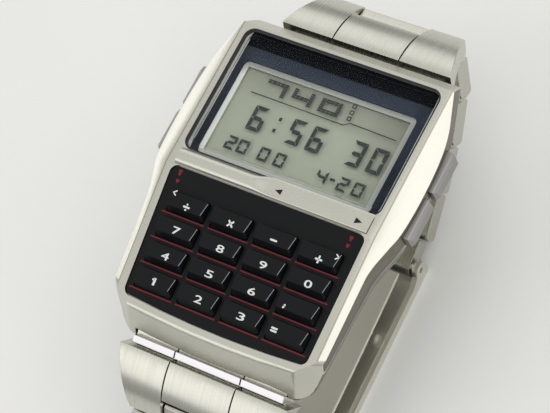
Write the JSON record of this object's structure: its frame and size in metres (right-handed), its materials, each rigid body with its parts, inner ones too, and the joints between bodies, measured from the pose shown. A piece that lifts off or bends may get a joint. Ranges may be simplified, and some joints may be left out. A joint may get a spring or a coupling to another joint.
{
  "type": "calculator watch",
  "caption": "Digital calculator watch: steel case with display and keypad, side pushers, and a tapering link bracelet with a fold-over clasp.",
  "frame": {"origin": "middle of the case back's outer face", "axes": "+X towards 3 o'clock, +Y towards 12 o'clock, +Z out of the face"},
  "size_m": [0.0376, 0.0633, 0.0305],
  "materials": {
    "case_steel": "satin",
    "bar_steel": "satin",
    "back_steel": "brushed",
    "bracelet_steel": "brushed",
    "pusher_steel": "satin",
    "pin_steel": "satin",
    "crystal_glass": "polished",
    "black_rubber": "matte",
    "zebra_rubber": "matte",
    "key_plastic": "satin",
    "fascia_plastic": "satin",
    "mask_print": "matte",
    "window_silver": "satin",
    "lcd_glass": "satin",
    "backlight_film": "matte",
    "board_green": "satin",
    "module_plastic": "matte",
    "chip_black": "matte",
    "battery_steel": "polished",
    "buzzer_brass": "satin"
  },
  "bodies": {
    "case": {"backlight_panel": "backlight_film", "battery": "battery_steel", "battery_clip": "pin_steel", "buzzer": "buzzer_brass", "case_back": "back_steel", "case_back_gasket": "black_rubber", "case_back_screws": "pin_steel", "case_body": "case_steel", "circuit_board": "board_green", "crystal": "crystal_glass", "crystal_gasket": "black_rubber", "display_mask": "mask_print", "divider_bar": "bar_steel", "keypad_board": "board_green", "keypad_fascia": "fascia_plastic", "keypad_membrane": "black_rubber", "lcd_panel": "lcd_glass", "logic_chip": "chip_black", "module_frame": "module_plastic", "pusher_seals": "black_rubber", "quartz_crystal": "battery_steel", "spring_bar_six": "pin_steel", "spring_bar_twelve": "pin_steel", "window_frame": "window_silver", "zebra_connectors": "zebra_rubber"},
    "key_divide": {"key_divide": "key_plastic"},
    "key_eight": {"key_eight": "key_plastic"},
    "key_equals": {"key_equals": "key_plastic"},
    "key_five": {"key_five": "key_plastic"},
    "key_four": {"key_four": "key_plastic"},
    "key_minus": {"key_minus": "key_plastic"},
    "key_multiply": {"key_multiply": "key_plastic"},
    "key_nine": {"key_nine": "key_plastic"},
    "key_one": {"key_one": "key_plastic"},
    "key_plus": {"key_plus": "key_plastic"},
    "key_point": {"key_point": "key_plastic"},
    "key_seven": {"key_seven": "key_plastic"},
    "key_six": {"key_six": "key_plastic"},
    "key_three": {"key_three": "key_plastic"},
    "key_two": {"key_two": "key_plastic"},
    "key_zero": {"key_zero": "key_plastic"},
    "pusher_left_lower": {"pusher_left_lower": "pusher_steel"},
    "pusher_left_upper": {"pusher_left_upper": "pusher_steel"},
    "pusher_right_lower": {"pusher_right_lower": "pusher_steel"},
    "pusher_right_upper": {"pusher_right_upper": "pusher_steel"},
    "twelve_end_link": {"twelve_end_link": "bracelet_steel"},
    "twelve_link_1": {"twelve_link_1": "bracelet_steel"},
    "twelve_link_2": {"twelve_link_2": "bracelet_steel"},
    "twelve_link_3": {"twelve_link_3": "bracelet_steel"},
    "twelve_link_4": {"twelve_link_4": "bracelet_steel"},
    "twelve_link_5": {"twelve_link_5": "bracelet_steel", "clasp_spring_bar": "pin_steel"},
    "six_end_link": {"six_end_link": "bracelet_steel"},
    "six_link_1": {"six_link_1": "bracelet_steel"},
    "six_link_2": {"six_link_2": "bracelet_steel"},
    "six_link_3": {"six_link_3": "bracelet_steel"},
    "clasp_inner_blade": {"clasp_inner_blade": "bracelet_steel"},
    "clasp_middle_blade": {"clasp_middle_blade": "bracelet_steel"},
    "clasp_cover": {"clasp_cover": "bracelet_steel"}
  },
  "joints": [
    {"name": "key_divide_press", "type": "slide", "parent": "case", "child": "key_divide", "axis": [0, 0.1305, -0.9914], "range_m": [0, 0.00045], "stiffness_N_per_m": 600, "springref_m": -0.0004},
    {"name": "key_eight_press", "type": "slide", "parent": "case", "child": "key_eight", "axis": [0, 0.1305, -0.9914], "range_m": [0, 0.00045], "stiffness_N_per_m": 600, "springref_m": -0.0004},
    {"name": "key_equals_press", "type": "slide", "parent": "case", "child": "key_equals", "axis": [0, 0.1305, -0.9914], "range_m": [0, 0.00045], "stiffness_N_per_m": 600, "springref_m": -0.0004},
    {"name": "key_five_press", "type": "slide", "parent": "case", "child": "key_five", "axis": [0, 0.1305, -0.9914], "range_m": [0, 0.00045], "stiffness_N_per_m": 600, "springref_m": -0.0004},
    {"name": "key_four_press", "type": "slide", "parent": "case", "child": "key_four", "axis": [0, 0.1305, -0.9914], "range_m": [0, 0.00045], "stiffness_N_per_m": 600, "springref_m": -0.0004},
    {"name": "key_minus_press", "type": "slide", "parent": "case", "child": "key_minus", "axis": [0, 0.1305, -0.9914], "range_m": [0, 0.00045], "stiffness_N_per_m": 600, "springref_m": -0.0004},
    {"name": "key_multiply_press", "type": "slide", "parent": "case", "child": "key_multiply", "axis": [0, 0.1305, -0.9914], "range_m": [0, 0.00045], "stiffness_N_per_m": 600, "springref_m": -0.0004},
    {"name": "key_nine_press", "type": "slide", "parent": "case", "child": "key_nine", "axis": [0, 0.1305, -0.9914], "range_m": [0, 0.00045], "stiffness_N_per_m": 600, "springref_m": -0.0004},
    {"name": "key_one_press", "type": "slide", "parent": "case", "child": "key_one", "axis": [0, 0.1305, -0.9914], "range_m": [0, 0.00045], "stiffness_N_per_m": 600, "springref_m": -0.0004},
    {"name": "key_plus_press", "type": "slide", "parent": "case", "child": "key_plus", "axis": [0, 0.1305, -0.9914], "range_m": [0, 0.00045], "stiffness_N_per_m": 600, "springref_m": -0.0004},
    {"name": "key_point_press", "type": "slide", "parent": "case", "child": "key_point", "axis": [0, 0.1305, -0.9914], "range_m": [0, 0.00045], "stiffness_N_per_m": 600, "springref_m": -0.0004},
    {"name": "key_seven_press", "type": "slide", "parent": "case", "child": "key_seven", "axis": [0, 0.1305, -0.9914], "range_m": [0, 0.00045], "stiffness_N_per_m": 600, "springref_m": -0.0004},
    {"name": "key_six_press", "type": "slide", "parent": "case", "child": "key_six", "axis": [0, 0.1305, -0.9914], "range_m": [0, 0.00045], "stiffness_N_per_m": 600, "springref_m": -0.0004},
    {"name": "key_three_press", "type": "slide", "parent": "case", "child": "key_three", "axis": [0, 0.1305, -0.9914], "range_m": [0, 0.00045], "stiffness_N_per_m": 600, "springref_m": -0.0004},
    {"name": "key_two_press", "type": "slide", "parent": "case", "child": "key_two", "axis": [0, 0.1305, -0.9914], "range_m": [0, 0.00045], "stiffness_N_per_m": 600, "springref_m": -0.0004},
    {"name": "key_zero_press", "type": "slide", "parent": "case", "child": "key_zero", "axis": [0, 0.1305, -0.9914], "range_m": [0, 0.00045], "stiffness_N_per_m": 600, "springref_m": -0.0004},
    {"name": "pusher_left_lower_press", "type": "slide", "parent": "case", "child": "pusher_left_lower", "axis": [1, 0, 0], "range_m": [0, 0.0006], "stiffness_N_per_m": 1500, "springref_m": -0.0005},
    {"name": "pusher_left_upper_press", "type": "slide", "parent": "case", "child": "pusher_left_upper", "axis": [1, 0, 0], "range_m": [0, 0.0006], "stiffness_N_per_m": 1500, "springref_m": -0.0005},
    {"name": "pusher_right_lower_press", "type": "slide", "parent": "case", "child": "pusher_right_lower", "axis": [-1, 0, 0], "range_m": [0, 0.0006], "stiffness_N_per_m": 1500, "springref_m": -0.0005},
    {"name": "pusher_right_upper_press", "type": "slide", "parent": "case", "child": "pusher_right_upper", "axis": [-1, 0, 0], "range_m": [0, 0.0006], "stiffness_N_per_m": 1500, "springref_m": -0.0005},
    {"name": "twelve_end_link_turn", "type": "hinge", "parent": "case", "child": "twelve_end_link", "pos_m": [0, 0.0203, 0.00135], "axis": [1, 0, 0], "range_deg": [0, 12]},
    {"name": "twelve_link_1_turn", "type": "hinge", "parent": "twelve_end_link", "child": "twelve_link_1", "pos_m": [0, 0.02798, -0.00197], "axis": [1, 0, 0], "range_deg": [0, 87]},
    {"name": "twelve_link_2_turn", "type": "hinge", "parent": "twelve_link_1", "child": "twelve_link_2", "pos_m": [0, 0.02551, -0.00809], "axis": [1, 0, 0], "range_deg": [0, 26]},
    {"name": "twelve_link_3_turn", "type": "hinge", "parent": "twelve_link_2", "child": "twelve_link_3", "pos_m": [0, 0.0206, -0.01251], "axis": [1, 0, 0], "range_deg": [0, 10]},
    {"name": "twelve_link_4_turn", "type": "hinge", "parent": "twelve_link_3", "child": "twelve_link_4", "pos_m": [0, 0.01501, -0.01601], "axis": [1, 0, 0], "range_deg": [0, 6]},
    {"name": "twelve_link_5_turn", "type": "hinge", "parent": "twelve_link_4", "child": "twelve_link_5", "pos_m": [0, 0.00907, -0.0189], "axis": [1, 0, 0], "range_deg": [0, 16]},
    {"name": "six_end_link_turn", "type": "hinge", "parent": "case", "child": "six_end_link", "pos_m": [0, -0.0203, 0.00135], "axis": [-1, 0, 0], "range_deg": [0, 5]},
    {"name": "six_link_1_turn", "type": "hinge", "parent": "six_end_link", "child": "six_link_1", "pos_m": [0, -0.02762, -0.00271], "axis": [-1, 0, 0], "range_deg": [0, 20]},
    {"name": "six_link_2_turn", "type": "hinge", "parent": "six_link_1", "child": "six_link_2", "pos_m": [0, -0.03186, -0.00776], "axis": [-1, 0, 0], "range_deg": [0, 38]},
    {"name": "six_link_3_turn", "type": "hinge", "parent": "six_link_2", "child": "six_link_3", "pos_m": [0, -0.03209, -0.01436], "axis": [-1, 0, 0], "range_deg": [0, 57]},
    {"name": "clasp_inner_blade_turn", "type": "hinge", "parent": "six_link_3", "child": "clasp_inner_blade", "pos_m": [0, -0.02665, -0.0181], "axis": [-1, 0, 0], "range_deg": [0, 35]},
    {"name": "clasp_middle_blade_turn", "type": "hinge", "parent": "clasp_inner_blade", "child": "clasp_middle_blade", "pos_m": [0, -0.006, -0.01956], "axis": [1, 0, 0], "range_deg": [0, 160]},
    {"name": "clasp_cover_turn", "type": "hinge", "parent": "clasp_middle_blade", "child": "clasp_cover", "pos_m": [0, -0.02285, -0.02011], "axis": [-1, 0, 0], "range_deg": [0, 160]}
  ],
  "couplings": [
    {"joint": "clasp_cover_turn", "follows": "clasp_middle_blade_turn", "ratio": 1}
  ]
}
